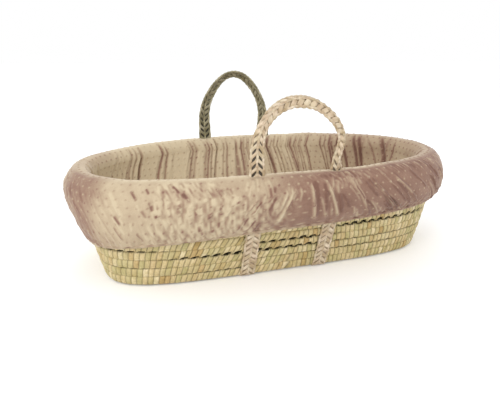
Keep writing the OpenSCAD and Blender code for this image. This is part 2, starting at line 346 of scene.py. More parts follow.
# %% Gaps between courses
# The widest gap of each joint in metres, from the ground up, at eight places along the
# basket. The cover hides the upper joints, so they stay closed.
HALF_LENGTH = 0.36
GAP_PLACES = [-0.30, -0.23, -0.10, -0.07, 0.06, 0.09, 0.14, 0.28]
GAP_OF_JOINT = [
    [0.0] * 8,
    [0.0, 0.0022, 0.0028, 0.0, 0.0, 0.0, 0.0, 0.0010],
    [0.0030, 0.0, 0.0, 0.0010, 0.0018, 0.0012, 0.0036, 0.0028],
    [0.0, 0.0056, 0.0080, 0.0072, 0.0072, 0.0038, 0.0028, 0.0038],
    [0.0036, 0.0, 0.0, 0.0074, 0.0086, 0.0052, 0.0, 0.0],
    [0.0, 0.0, 0.0, 0.0, 0.0020, 0.0030, 0.0082, 0.0078]] + [[0.0] * 8] * 5


def waves(s, seed, count=5):
    """A slow wave from 0 to 1 round the ring: a sum of whole numbers of sine waves."""
    rng = np.random.default_rng(seed)
    total = sum(np.sin(2 * np.pi * (k * s + rng.random())) * rng.uniform(0.4, 1.0)
                for k in range(2, 2 + count))
    return 0.5 + 0.5 * np.tanh(total)


def gap_at(joint):
    """How far the gaps of a joint open at the share s of the way round."""
    def opening(s):
        x = HALF_LENGTH * np.cos(2 * np.pi * s)
        side = step_up(np.abs(np.sin(2 * np.pi * s)), 0.22, 0.50)
        widest = np.interp(x, GAP_PLACES, GAP_OF_JOINT[joint])
        return widest * side * (0.55 + 0.45 * waves(s, 40 + joint))
    return opening


def small_gap(joint):
    """The upper edge of the course below gives way by about a third as much."""
    opening = gap_at(joint)
    return lambda s: 0.35 * opening(s)


def no_gap(s):
    """For courses that lie close against their neighbours."""
    return 0.0 * s


# %% [markdown]
# Ten courses make the wall. The lowest six show under the cover, so they get more
# points. Each has an even number of wraps, because the stitches come in pairs.

# %% Wall courses
WALL_COURSES, SHOWN_COURSES = 10, 6
palm_pieces = []
for k in range(1, WALL_COURSES + 1):
    low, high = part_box(f"wall_course_{k}")
    shown = k <= SHOWN_COURSES
    _, around = even_angles(1, -COURSE_T / 2, (low[2] + high[2]) / 2)
    course = wrapped_course(
        f"wall_course_wraps_{k}", wall_place(low[2], high[2]), COURSE_T / 2 - 0.0006,
        (high[2] - low[2]) / 2, 2 * round(around / WRAP_PITCH / 2), 100 + k,
        gap_at(k - 1), small_gap(k), columns=9 if shown else 6, facets=20 if shown else 12)
    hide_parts(f"wall_course_{k}")
    palm_pieces.append(course)
print(len(palm_pieces), "wall courses of about", round(around / WRAP_PITCH), "wraps")

# %% [markdown]
# The base is the same work laid flat: rings of wrapped grass one inside the other,
# round a straight middle bundle.

# %% Base rings
BASE_RINGS, RING_STEPS = 7, 6001
BASE_RING_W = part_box("base_course_1")[1][0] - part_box("base_course_2")[1][0]
BASE_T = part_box("base_course_1")[1][2] - BASE_Z


def ring_place(name):
    """The place function of a flat ring, and the ring's length. It follows the middle line
    of the CAD ring, with out in plan and up along Z."""
    low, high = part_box(name)
    a, b = high[0] - BASE_RING_W / 2, high[1] - BASE_RING_W / 2
    middle = (low[2] + high[2]) / 2
    n = squareness(BASE_Z)
    fine = np.linspace(0, 2 * np.pi, RING_STEPS)
    length = run_length(np.stack([a * curve(np.cos(fine), n), b * curve(np.sin(fine), n)], -1))

    def place(s, out, up):
        t = np.interp((s.ravel() % 1) * length[-1], length, fine).reshape(s.shape)
        x, y = curve(np.cos(t), n), curve(np.sin(t), n)
        gx, gy = straight_out(x, y, a, b, n)
        return np.stack([a * x + out * gx, b * y + out * gy, middle + up], -1)
    return place, length[-1]


for k in range(1, BASE_RINGS + 1):
    place, around = ring_place(f"base_course_{k}")
    ring = wrapped_course(
        f"base_course_wraps_{k}", place, BASE_RING_W / 2 - 0.0012, BASE_T / 2 - 0.0004,
        round(around / WRAP_PITCH), 200 + k, no_gap, no_gap, columns=8, facets=16, slant=0.0)
    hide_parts(f"base_course_{k}")
    palm_pieces.append(ring)
print("base rings", BASE_RING_W, "m wide")

# %% [markdown]
# The middle bundle is straight, so it is a bar whose two ends are drawn to a point and
# closed.

# %% Middle bundle
def middle_bundle(name, node):
    """A bar along X: each section is an ellipse, narrowed at the ends by the root of
    1 - |2s - 1|^12, with flatter pads than the other wraps. Each end closes on one point."""
    low, high = map(np.array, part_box(node))
    half, centre = (high - low) / 2, (high + low) / 2
    wraps, columns, facets = round(2 * half[0] / WRAP_PITCH), 8, 24
    along = np.linspace(0, 1, wraps * columns + 1)
    wrap = np.minimum((along * wraps).astype(int), wraps - 1)
    u = np.clip(along * wraps - wrap, 0, 1)
    taper = (1 - np.abs(2 * along - 1) ** 12) ** 0.5
    turn = full_turn(facets)
    pad = (PAD_PUFF * 0.6 * pillow(u) - 0.001)[:, None]
    x = low[0] + 2 * half[0] * along
    y = centre[1] + (half[1] + pad) * taper[:, None] * np.cos(turn)
    z = centre[2] + (half[2] - 0.0004 + pad * 0.3) * taper[:, None] * curve(np.sin(turn), 3)
    points = np.stack([np.broadcast_to(x[:, None], y.shape), y, z], -1)
    made = new_object(name, points.reshape(-1, 3), grid_faces(len(x), facets, False, True)[:, ::-1])
    rng = np.random.default_rng(300)
    # Painted shade: each wrap darkens towards its edges, where the wraps meet.
    shade = 1 - 0.45 * (1 - step_up(np.minimum(u, 1 - u), 0.0, 0.1))
    mark(made, "shade", np.broadcast_to(shade[:, None], y.shape))
    mark(made, "tint", np.broadcast_to(rng.random(wraps)[wrap][:, None], y.shape))
    mark(made, "amber", np.zeros(y.shape))
    unwrap(made, np.broadcast_to(x[:, None], y.shape), np.broadcast_to(half[1] * turn, y.shape))
    return made


def weld(made, distance=1e-6):
    """Joins points that lie on each other, which closes a pole."""
    shell = bmesh.new()
    shell.from_mesh(made.data)
    bmesh.ops.remove_doubles(shell, verts=shell.verts, dist=distance)
    shell.to_mesh(made.data)
    shell.free()


core = middle_bundle("base_core_wraps", "base_core")
weld(core)
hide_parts("base_core")
palm_pieces.append(core)

# %% [markdown]
# Palm leaf dries to many colours, from cream through olive to amber, and one wrap
# rarely matches the next. The material mixes them by the wrap's own number, paints shade
# into the creases and into the gaps between courses, and adds the fine ribs that run along each leaf.

# %% Palm leaf material
def plug(tree, socket, value):
    """Joins a socket to another node's output, or sets it to a number or colour."""
    if isinstance(value, bpy.types.NodeSocket):
        tree.links.new(value, socket)
    else:
        socket.default_value = value


def add_node(tree, kind, **inputs):
    """A shader node of a kind, with its inputs plugged by name."""
    node = tree.nodes.new("ShaderNode" + kind)
    for name, value in inputs.items():
        plug(tree, node.inputs[name], value)
    return node


def ramp(tree, factor, stops):
    """A colour ramp whose stops are (place, red, green, blue)."""
    node = add_node(tree, "ValToRGB", Fac=factor)
    for place, *_ in stops[2:]:
        node.color_ramp.elements.new(place)
    for element, (place, *color) in zip(node.color_ramp.elements, stops):
        element.position = place
        element.color = (*color, 1.0)
    return node.outputs["Color"]


def attribute(tree, name):
    """Reads a number that was stored on the points."""
    node = add_node(tree, "Attribute")
    node.attribute_name = name
    return node.outputs["Fac"]


def streaks(tree, scale_u, scale_v, detail=3.0, offset=0.0):
    """Noise on the piece's own UV map, stretched by different scales in u and v."""
    uv = add_node(tree, "UVMap")
    uv.uv_map = "UVMap"
    mapping = add_node(tree, "Mapping", Vector=uv.outputs["UV"], Scale=(scale_u, scale_v, 1.0),
                       Location=(offset, offset, 0.0))
    noise = add_node(tree, "TexNoise", Vector=mapping.outputs["Vector"], Scale=1.0, Detail=detail)
    return noise.outputs["Fac"]


def mixed(tree, blend, factor, first, second):
    """Mixes two colours by a factor. A colour mix reads inputs 0, 6 and 7, and its result is
    output 2; the others are for numbers and vectors."""
    node = add_node(tree, "Mix")
    node.data_type, node.blend_type = "RGBA", blend
    for number, value in ((0, factor), (6, first), (7, second)):
        plug(tree, node.inputs[number], value)
    return node.outputs[2]


def bump(tree, shader, height, strength, distance):
    """Turns a height into a change of the shading normal."""
    node = add_node(tree, "Bump", Height=height, Strength=strength, Distance=distance)
    plug(tree, shader.inputs["Normal"], node.outputs["Normal"])


def palm_leaf(name, stops, ribs_u=900.0, ribs_v=60.0):
    """Leaf colours by the wrap's tint, with a few amber wraps, ribs that run along the leaf,
    cloudy patches, and painted shade in the creases and gaps."""
    material, tree, shader = new_material(name, (0.7, 0.6, 0.4), 0.62)
    color = ramp(tree, attribute(tree, "tint"), stops)
    color = mixed(tree, "MIX", attribute(tree, "amber"), color, (0.52, 0.34, 0.12, 1.0))
    ribs = streaks(tree, ribs_u, ribs_v)
    patches = streaks(tree, 60.0, 45.0, 2.0, 7.0)
    rib_color = ramp(tree, ribs, [(0.3, 0.55, 0.5, 0.38), (0.65, 1.0, 1.0, 1.0)])
    color = mixed(tree, "MULTIPLY", 0.75, color, rib_color)
    patch_color = ramp(tree, patches, [(0.35, 0.72, 0.70, 0.52), (0.6, 1.0, 1.0, 1.0)])
    color = mixed(tree, "MULTIPLY", 0.7, color, patch_color)
    # Painted shade: the shade attribute multiplies the colour, down to nearly black.
    shade = ramp(tree, attribute(tree, "shade"), [(0.0, 0.012, 0.010, 0.006), (1.0, 1.0, 1.0, 1.0)])
    plug(tree, shader.inputs["Base Color"], mixed(tree, "MULTIPLY", 1.0, color, shade))
    bump(tree, shader, ribs, 0.5, 0.0006)
    return material


leaf = palm_leaf("palm_leaf", [(0.0, 0.76, 0.62, 0.36), (0.4, 0.64, 0.53, 0.29),
                               (0.7, 0.56, 0.49, 0.24), (1.0, 0.86, 0.73, 0.48)])
for piece in palm_pieces:
    piece.data.materials.append(leaf)
    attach(piece, "basket")
print(len(palm_pieces), "palm pieces")

# %% [markdown]
# ## Plaits
# The straps and handles are flat plaits of palm strands. Three cords run lengthwise, one
# at each edge and one down the middle. In each half two ribbons swing from the edge
# cord to the middle cord and back, in opposite phase, and go over and under where they
# cross. That leaves one row of small holes in each half, and a flat strand behind
# them stands for the back layer of the plait, painted dark as shade where the holes
# are open. Cords and ribbons also get painted shade in their twists and where they
# dip under. A handle is also creased along its middle cord, so its section is a
# shallow roof.

# %% Plait builder
STRAND_FACETS = 8
HOLE_PITCH, PLY_PITCH = 0.0135, 0.0085   # from hole to hole, and a cord's twist
RIBBON_OPEN, RIBBON_SHUT = 0.0062, 0.0082    # ribbon widths that leave holes and close them


def smooth_line(points, count):
    """A Catmull-Rom curve through the points, evaluated at count even steps along it. The
    first two coordinates are lengths; a third one is a share that only rides along."""
    points = np.asarray(points, float)
    ends = np.concatenate([[2 * points[0] - points[1]], points, [2 * points[-1] - points[-2]]])
    u = np.linspace(0, len(points) - 1, 60 * len(points))
    i = np.minimum(u.astype(int), len(points) - 2)
    f = (u - i)[:, None]
    p0, p1, p2, p3 = ends[i], ends[i + 1], ends[i + 2], ends[i + 3]
    line = 0.5 * (2 * p1 + (p2 - p0) * f + (2 * p0 - 5 * p1 + 4 * p2 - p3) * f ** 2
                  + (3 * p1 - p0 - 3 * p2 + p3) * f ** 3)
    length = run_length(line[:, :2])
    even = np.linspace(0, length[-1], count)
    evened = np.stack([np.interp(even, length, column) for column in line.T], -1)
    return evened, length[-1]


def unit(vectors):
    """Vectors scaled to length one."""
    return vectors / (np.linalg.norm(vectors, axis=-1, keepdims=True) + 1e-12)


def strand(middle, side, top, half_w, half_t):
    """One strand: an ellipse-like ring of points at each step, and a point that closes each
    end. Returns its points and its faces, quads first and then the triangles of the ends."""
    turn = full_turn(STRAND_FACETS) + np.pi / STRAND_FACETS
    wide_part = half_w[:, None] * curve(np.cos(turn), 2.6)
    high_part = half_t[:, None] * curve(np.sin(turn), 2.2)
    ring = (middle[:, None, :] + side[:, None, :] * wide_part[..., None]
            + top[:, None, :] * high_part[..., None])
    count = len(middle) * STRAND_FACETS
    a = np.arange(STRAND_FACETS)
    b = (a + 1) % STRAND_FACETS
    base = count - STRAND_FACETS
    ends = np.concatenate([np.stack([np.full_like(a, count), b, a], -1),
                           np.stack([np.full_like(a, count + 1), base + a, base + b], -1)])
    quads = grid_faces(len(middle), STRAND_FACETS, False, True)[:, ::-1]
    return np.concatenate([ring.reshape(-1, 3), middle[:1], middle[-1:]]), quads, ends


def plait(name, centre, face, width, cord_r, ribbon_w, ribbon_t, seed, crease=0.0):
    """A flat plait along the line centre. face is where its face looks at each step, and
    crease is how far each half bends back from it, in radians. A cord runs at -1, 0 and 1
    half widths. A ribbon's distance from the middle of its half is a cosine whose
    period is two holes, and its height is a sine of the same period. The back layer is
    painted dark as shade where narrow ribbons leave holes; wide ribbons close the holes,
    and there it is as bright as the rest."""
    rng = np.random.default_rng(seed)
    steps = len(centre)
    length = run_length(centre)
    along = unit(np.gradient(centre, axis=0))
    face = unit(face - (face * along).sum(-1, keepdims=True) * along)
    wide = np.cross(along, face)
    ribbon_w = np.broadcast_to(ribbon_w, (steps,))
    half = np.broadcast_to(width, (steps,)) / 2 - cord_r
    crease = np.broadcast_to(crease, (steps,))[:, None]
    ridge = centre + face * (half[:, None] * np.sin(crease) / 2)
    points, quads, ends, tints, shades, us, vs = [], [], [], [], [], [], []

    def add(across, rise, half_w, half_t, tint, shade):
        """Adds the strand that runs at across, as shares of the half width, at height rise."""
        sign = np.sign(across + 1e-9)[:, None]
        arm = wide * np.cos(crease) - face * sign * np.sin(crease)
        normal = face * np.cos(crease) + wide * sign * np.sin(crease)
        middle = ridge + arm * (across * half)[:, None] + normal * rise[:, None]
        direction = unit(np.gradient(middle, axis=0))
        side = unit(np.cross(normal, direction))
        made, quad, end = strand(middle, side, np.cross(direction, side), half_w, half_t)
        start = sum(len(p) for p in points)
        points.append(made)
        quads.append(quad + start)
        ends.append(end + start)
        tints.append(np.append(np.repeat(tint, STRAND_FACETS), [0.5, 0.5]))
        shades.append(np.append(np.repeat(shade, STRAND_FACETS), [0.5, 0.5]))
        us.append(np.append(np.tile(np.arange(STRAND_FACETS) * 0.001, steps), [0, 0]) + len(points))
        vs.append(np.append(np.repeat(length, STRAND_FACETS), [0, 0]))

    ones = np.ones(steps)
    # Painted shade: the back strand is painted dark where the holes are open.
    back_shade = np.interp(ribbon_w, [RIBBON_OPEN, RIBBON_SHUT], [0.12, 0.70])
    for place in (-1, 0, 1):
        # Painted shade on the cords: darker in the grooves of their twist.
        ply = 2 * np.pi * (length / PLY_PITCH + rng.random())
        radius = cord_r * (1 + 0.10 * np.sin(ply))
        add(place * ones + 0.03 * np.sin(ply / 2.7), 0.0002 * np.sin(ply), radius, radius * 0.92,
            0.75 + 0.25 * np.sin(ply / 5 + place), 0.93 + 0.07 * np.sin(ply))
    for half_side in (-1, 1):
        add(half_side * 0.5 * ones, 0.0 * ones, half / 2 * 0.96, 0.0004 * ones, 0.5 * ones,
            back_shade)
        offset = rng.random()
        for phase in (0.0, np.pi):
            swing = np.pi * (length / HOLE_PITCH + offset) + phase
            lumps = 1 + 0.08 * np.sin(length / 0.011 + 6 * rng.random())
            reach = 0.5 - 0.0008 / half
            # Painted shade on the ribbons: darker where they dip under.
            add(half_side * (0.5 + reach * np.cos(swing)), 0.75 * ribbon_t * np.sin(swing),
                ribbon_w / 2 * lumps, ribbon_t / 2 * ones,
                0.5 + 0.5 * np.sin(swing / 3 + 5 * rng.random()), 0.86 + 0.14 * np.sin(swing))
    made = bpy.data.objects.new(name, bpy.data.meshes.new(name))
    made.data.from_pydata(np.concatenate(points).tolist(), [],
                          np.concatenate(quads).tolist() + np.concatenate(ends).tolist())
    made.data.polygons.foreach_set("use_smooth", np.ones(len(made.data.polygons), bool))
    bpy.context.scene.collection.objects.link(made)
    mark(made, "tint", np.concatenate(tints))
    mark(made, "shade", np.concatenate(shades))
    mark(made, "amber", np.zeros(len(made.data.vertices)))
    unwrap(made, np.concatenate(us), np.concatenate(vs))
    return made


# %% [markdown]
# ## Straps
# Two straps pass under the base and come up the wall on both sides. Each one on the
# wall starts flat under the edge of the base, turns up round it, lies on the pads of
# the courses, bends over the rim and reaches the slit that its handle comes out of.

# %% Straps on the wall
STRAP_W, UNDER_T = 0.030, 0.0030


def foot_places(side):
    """How far along the basket the middles of a side's two straps are."""
    boxes = [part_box(f"strap_{side}_{end}") for end in ("left", "right")]
    return [(low[0] + high[0]) / 2 for low, high in boxes]


near_foot_x, far_foot_x = foot_places("near"), foot_places("far")


def wall_y(x, out, z):
    """How far from the middle the wall's side is at the distance x along the basket."""
    a, b = half_sizes(z)
    n = squareness(z)
    return b * (1 - (np.abs(x) / a) ** n) ** (1 / n) + out


def wall_strap(name, x, side):
    """A plait along a line in the plane across the basket at x: under the base, up the wall
    and over the rim."""
    up_wall = np.linspace(0.012, RIM_Z - 0.006, 12)
    ground_y = wall_y(x, 0.0, 0.0)
    line = [[ground_y - 0.022, 0.0016], [ground_y - 0.008, 0.0018], [ground_y + 0.0025, 0.0042]]
    line += [[wall_y(x, 0.0042, z), z] for z in up_wall]
    line += [[wall_y(x, out, z), z] for out, z in (
        (0.005, RIM_Z + 0.006), (0.002, RIM_TOP + 0.003), (-0.008, RIM_TOP + 0.0075))]
    flat, _ = smooth_line(line, 220)
    centre = np.stack([np.full(len(flat), x), side * flat[:, 0], flat[:, 1]], -1)
    slope = np.gradient(flat, axis=0)
    face = np.stack([np.zeros(len(flat)), side * slope[:, 1], -slope[:, 0]], -1)
    return plait(name, centre, face, STRAP_W, 0.0021, 0.0079, 0.0016,
                 500 + int(1000 * abs(x)) + int(side))


plaits = []
for label, side, feet in (("near", -1.0, near_foot_x), ("far", 1.0, far_foot_x)):
    for end, x in zip(("left", "right"), feet):
        strap = wall_strap(f"wall_strap_plait_{label}_{end}", x, side)
        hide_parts(f"strap_{label}_{end}")
        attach(strap, "basket")
        plaits.append(strap)
print("wall straps at", [round(v, 3) for v in near_foot_x + far_foot_x])

# %% [markdown]
# Under the base a strap is pressed flat, because it carries the load. It crosses from
# the near pair of feet to the far pair, a little askew.

# %% Straps under the base
for end, near_x, far_x in zip(("left", "right"), near_foot_x, far_foot_x):
    reach = wall_y(near_x, -0.018, 0.0)
    y = np.linspace(-reach, reach, 240)
    share = (y + reach) / (2 * reach)
    centre = np.stack([near_x + (far_x - near_x) * share, y, np.full(len(y), UNDER_T / 2 + 0.0001)], -1)
    under = plait(f"under_strap_plait_{end}", centre, np.tile([0.0, 0.0, -1.0], (len(y), 1)),
                  STRAP_W, UNDER_T / 2 - 0.0001, 0.0056, 0.0007, 600 + len(plaits))
    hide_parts(f"under_strap_{end}")
    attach(under, "basket")
    plaits.append(under)
print(len(plaits), "strap pieces")

# %% [markdown]
# ## Handles
# A handle is the same plait carried in an arch. Its face looks outwards at the feet, and
# turns on the way up until it nearly faces the sky at the grip. It starts a little
# below the slit.

# %% Handle plaits
def handle_box(node):
    """The x, y and z of a handle's pivot, and the height of its top."""
    joint = next(j for j in frame["joints"] if j["child"].startswith(node))
    return *joint["pos_m"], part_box(node)[1][2]


FOOT_HALF, LEG_BOW = 0.079, 0.006        # half the span of the feet, and the legs' bow
TAIL_POINTS = 8                          # each leg goes on straight below the pivot


def arch_line(rise, power, sway, steps):
    """The arch: across it is a cosine, and up it is a sine to a power, so the legs stand
    straighter than a half circle's. Half way up the legs bow out and sway to one side."""
    t = np.linspace(0, np.pi, 600)
    up = np.clip(np.sin(t), 0, 1) ** (2 / power)
    middle = np.sin(np.pi * up) ** 2
    across = sway * middle - (FOOT_HALF + LEG_BOW * middle) * np.cos(t)
    tail = np.linspace(-0.016, -0.002, TAIL_POINTS)
    line = np.concatenate([np.stack([np.full(TAIL_POINTS, across[0]), tail], -1),
                           np.stack([across, rise * up], -1),
                           np.stack([np.full(TAIL_POINTS, across[-1]), tail[::-1]], -1)])
    length = run_length(line)
    even = np.linspace(0, length[-1], steps)
    return np.stack([np.interp(even, length, line[:, 0]), np.interp(even, length, line[:, 1])], -1)


HANDLE_PLACES = [0, 0.06, 0.16, 0.28, 0.5, 0.72, 0.84, 0.94, 1]


def along_handle(share, values):
    """Blends values given at HANDLE_PLACES along the handle, rounded off by a running mean."""
    blended = np.interp(share, HANDLE_PLACES, values)
    window = np.hanning(41) / np.hanning(41).sum()
    return np.convolve(np.pad(blended, 20, "edge"), window, "valid")


def handle_plait(name, node, power, sway, turns, widths, creases, ribbons, seed):
    """The handle's plait. turns are how far its face has turned from straight outwards
    towards the sky, and creases how far each half bends back, in degrees. widths and
    ribbons are the plait's width and its ribbons' widths, in metres. Each list holds a
    value for every one of HANDLE_PLACES."""
    x, y, z, top = handle_box(node)
    side = math.copysign(1.0, y)
    line = arch_line(top - z - 0.008, power, sway, 420)
    centre = np.stack([x + line[:, 0], np.full(len(line), y), z + line[:, 1]], -1)
    share = np.linspace(0, 1, len(line))
    along = unit(np.gradient(centre, axis=0))
    outward = np.stack([-along[:, 2], np.zeros(len(line)), along[:, 0]], -1)
    turn = np.radians(along_handle(share, turns))
    face = outward * np.sin(turn)[:, None] + np.array([0, side, 0]) * np.cos(turn)[:, None]
    return plait(name, centre, face, along_handle(share, widths), 0.0023, along_handle(share, ribbons),
                 0.0017, seed, crease=np.radians(along_handle(share, creases)))


NEAR_TURNS = [0, 4, 14, 32, 46, 52, 44, 16, 0]
NEAR_WIDTHS = [0.030, 0.029, 0.026, 0.023, 0.032, 0.031, 0.025, 0.026, 0.029]
NEAR_CREASES = [0, 6, 26, 38, 34, 30, 48, 30, 0]
NEAR_RIBBONS = [0.0052, 0.0054, 0.0062, 0.0086, 0.0100, 0.0098, 0.0084, 0.0070, 0.0062]
FAR_TURNS = [0, 2, 8, 24, 52, 60, 50, 16, 0]
FAR_WIDTHS = [0.032, 0.031, 0.029, 0.027, 0.026, 0.027, 0.028, 0.031, 0.034]
FAR_CREASES = [0, 6, 14, 20, 24, 24, 18, 6, 0]
FAR_RIBBONS = [0.0060, 0.0062, 0.0064, 0.0072, 0.0086, 0.0084, 0.0072, 0.0064, 0.0060]
for label, power, sway, turns, widths, creases, ribbons, seed in (
        ("near", 3.2, 0.005, NEAR_TURNS, NEAR_WIDTHS, NEAR_CREASES, NEAR_RIBBONS, 701),
        ("far", 2.2, 0.0, FAR_TURNS, FAR_WIDTHS, FAR_CREASES, FAR_RIBBONS, 702)):
    node = f"{label}_handle"
    piece = handle_plait(f"{label}_handle_plait", node, power, sway, turns, widths, creases,
                         ribbons, seed)
    _, y, z, _ = handle_box(node)
    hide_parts(node)
    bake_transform(piece)
    plaits.append(piece)

# %% [markdown]
# Plaited strands are finer than the wraps, so their ribs are too. The far handle is made
# of older, darker leaf.

# %% Plait materials
braid_near = palm_leaf("palm_braid", [
    (0.0, 0.68, 0.55, 0.41), (0.5, 0.58, 0.44, 0.31), (1.0, 0.74, 0.63, 0.49)], ribs_u=500.0)
braid_far = palm_leaf("palm_braid_olive", [
    (0.0, 0.42, 0.38, 0.25), (0.5, 0.26, 0.24, 0.15), (1.0, 0.50, 0.46, 0.33)], ribs_u=500.0)
for piece in plaits:
    piece.data.materials.append(braid_far if piece.name.startswith("far_handle") else braid_near)
print(len(plaits), "plaited pieces")

# %% [markdown]
# ## The plush cover
# The cover is one padded skin: it starts at the foot of the bumper, rises over the crest
# of the rim, and falls outside to a hem that elastic pulls against the wall. Seen in
# section it is one smooth line, and that line is carried round the oval. The skin
# is one wide grid, later cut along the seam into the inner bumper and the outer skirt,
# so that folds run across the seam unbroken.

# %% Line of the cover
SKIRT_OUT = 0.027                        # offsets are from the wall's outer face
CREST_OUT = -0.009
BUMPER_IN = -COURSE_T - 0.024
FOOT_IN = -COURSE_T - 0.008
BED_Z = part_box("inner_panel")[0][2]
STRAP_ROOM = 0.0068                      # what the wall straps need under the hem
HEM_TILT, HEM_DROOP, ELASTIC_H = 0.019, 0.009, 0.0062
HEM_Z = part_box("hem_elastic")[0][2] + HEM_TILT + HEM_DROOP


def hem_rise(t):
    """How much the hem is above its height in the middle of the sides, at angle t."""
    return HEM_TILT * curve(np.cos(t), RIM_SQUARE) - HEM_DROOP * np.cos(t) ** 2


# Each point is its offset, its height and its share of the hem's rise.
INNER_DEPTH = RIM_Z - BED_Z
SEAM_Z = RIM_TOP + 0.0015
inner_line = [
    [FOOT_IN - 0.001, BED_Z + 0.001, 0], [FOOT_IN - 0.004, BED_Z + 0.25 * INNER_DEPTH, 0],
    [FOOT_IN - 0.011, BED_Z + 0.58 * INNER_DEPTH, 0], [BUMPER_IN, RIM_Z - 0.012, 0],
    [BUMPER_IN - 0.0015, RIM_Z + 0.002, 0], [BUMPER_IN + 0.001, SEAM_Z, 0]]
outer_line = [
    [BUMPER_IN + 0.010, CREST_Z - 0.003, 0], [CREST_OUT, CREST_Z, 0],
    [CREST_OUT + 0.013, CREST_Z - 0.0037, 0], [CREST_OUT + 0.024, CREST_Z - 0.013, 0],
    [SKIRT_OUT - 0.004, RIM_Z + 0.002, 0], [SKIRT_OUT, RIM_Z - 0.014, 0],
    [SKIRT_OUT - 0.001, RIM_Z - 0.038, 0.1], [SKIRT_OUT - 0.006, HEM_Z + ELASTIC_H + 0.018, 0.6],
    [STRAP_ROOM + 0.0042, HEM_Z + ELASTIC_H - 0.001, 1]]
print("hem at", round(float(HEM_Z), 3), "m in the middle of the sides")

# %% [markdown]
# The grid has a column for each even step round the crest, and a row for each even step
# over the section. Depth is measured along the cloth from the crest, and is negative
# inside the basket.

# %% Skin of the cover
COLUMNS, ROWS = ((1300, 232))
section, section_length = smooth_line(inner_line + outer_line, ROWS)
crest_row = int(np.argmax(section[:, 1]))
seam_row = int(np.argmin(np.abs(section[:, 1] - SEAM_Z) + (np.arange(ROWS) > crest_row)))
angles, RING = even_angles(COLUMNS, CREST_OUT, CREST_Z)
ring_s = (np.arange(COLUMNS) / COLUMNS)[:, None]
depth = (np.linspace(0, section_length, ROWS) - section_length * crest_row / (ROWS - 1))[None, :]
SLUMP_DOWN, SLUMP_IN = 0.008, 0.009
SLUMP_FROM_Z, SLUMP_FULL_Z = 0.130, 0.215


def slump(points, over):
    """The padding has sagged at the left end: it lies lower and is drawn in, more and more
    towards that end. over is how strongly each point follows."""
    share = step_up(-points[..., 0], 0.06, 0.42) * over
    points[..., 2] -= SLUMP_DOWN * share
    points[..., 0] += SLUMP_IN * share * share
    return points


def carried_round(line):
    """Carries a section line round the oval. Its points slump where they are high."""
    out, z, rise = np.array(line).T[:, None, :]
    surface = oval(angles[:, None], out, z + rise * hem_rise(angles[:, None]))
    return slump(surface, step_up(z, SLUMP_FROM_Z, SLUMP_FULL_Z))


skin = carried_round(section)
print("cover", COLUMNS, "x", ROWS, "points,", round(float(RING), 3), "m round and",
      round(float(section_length), 3), "m over")

# %% [markdown]
# Gathers and drag lines are single soft ridges or valleys in the cloth. Each one
# follows its own slanted line on the skin, is a bell curve across that line, and fades out
# at both ends.

# %% One fold
fold_height = np.zeros((COLUMNS, ROWS))
fold_shade = np.zeros((COLUMNS, ROWS))
fold_highlight = np.zeros((COLUMNS, ROWS))


def ring_share(x, side, down=0.0):
    """The share of the way round of the skin's point at x, on a side, -1 near or 1 far, at
    the depth down from the crest. The grid's columns lean, so it depends on the depth. The
    column at the right tip, where the ring closes, is on neither side."""
    row = int(np.argmin(np.abs(depth[0] - down)))
    off_side = skin[:, row, 1] * side <= 0
    return int(np.argmin(np.abs(skin[:, row, 0] - x) + off_side)) / COLUMNS


def add_fold(s0, d0, s1, d1, width, height, tone, fade=0.22):
    """A fold from (s0, d0) to (s1, d1), in shares round the ring and metres from the crest.
    Its cross-section is a bell curve of that width; tone above 0 paints a highlight on it
    and below 0 paints shade in it. It grows over the first share fade of its length. Only the
    columns near the fold are touched."""
    reach = 4 * width / RING
    low, high = min(s0, s1) - reach, max(s0, s1) + reach
    picked = np.arange(math.floor(low * COLUMNS), math.ceil(high * COLUMNS) + 1)
    s = picked[:, None] / COLUMNS
    span = math.hypot((s1 - s0) * RING, d1 - d0)
    run_s, run_d = (s1 - s0) * RING / span, (d1 - d0) / span
    ds, dd = (s - s0) * RING, depth - d0
    along = (ds * run_s + dd * run_d) / span
    across = (ds * run_d - dd * run_s) / width
    ends = step_up(along, 0.0, fade) * (1 - step_up(along, 0.75, 1.0))
    bell = np.exp(-across ** 2) * ends
    where = picked % COLUMNS
    fold_height[where] += height * (bell - 0.35 * np.exp(-(np.abs(across) - 2.0) ** 2) * ends)
    # Painted highlight on folds with tone above 0, painted shade on those below 0.
    if tone > 0:
        fold_highlight[where] = np.maximum(fold_highlight[where], tone * bell)
    else:
        fold_shade[where] = np.maximum(fold_shade[where], -tone * bell)


slits = [ring_share(x, -1) for x in near_foot_x] + [ring_share(x, 1) for x in far_foot_x]
inner_span, hem_span = depth[0, 0], depth[0, -1]
print("slits at the shares", [round(slit, 3) for slit in slits])

# %% [markdown]
# Inside the basket the cloth hangs from the crest in gathers. They come in bundles near
# the slits, where the handles bunch the cloth, and looser ones hang between them.

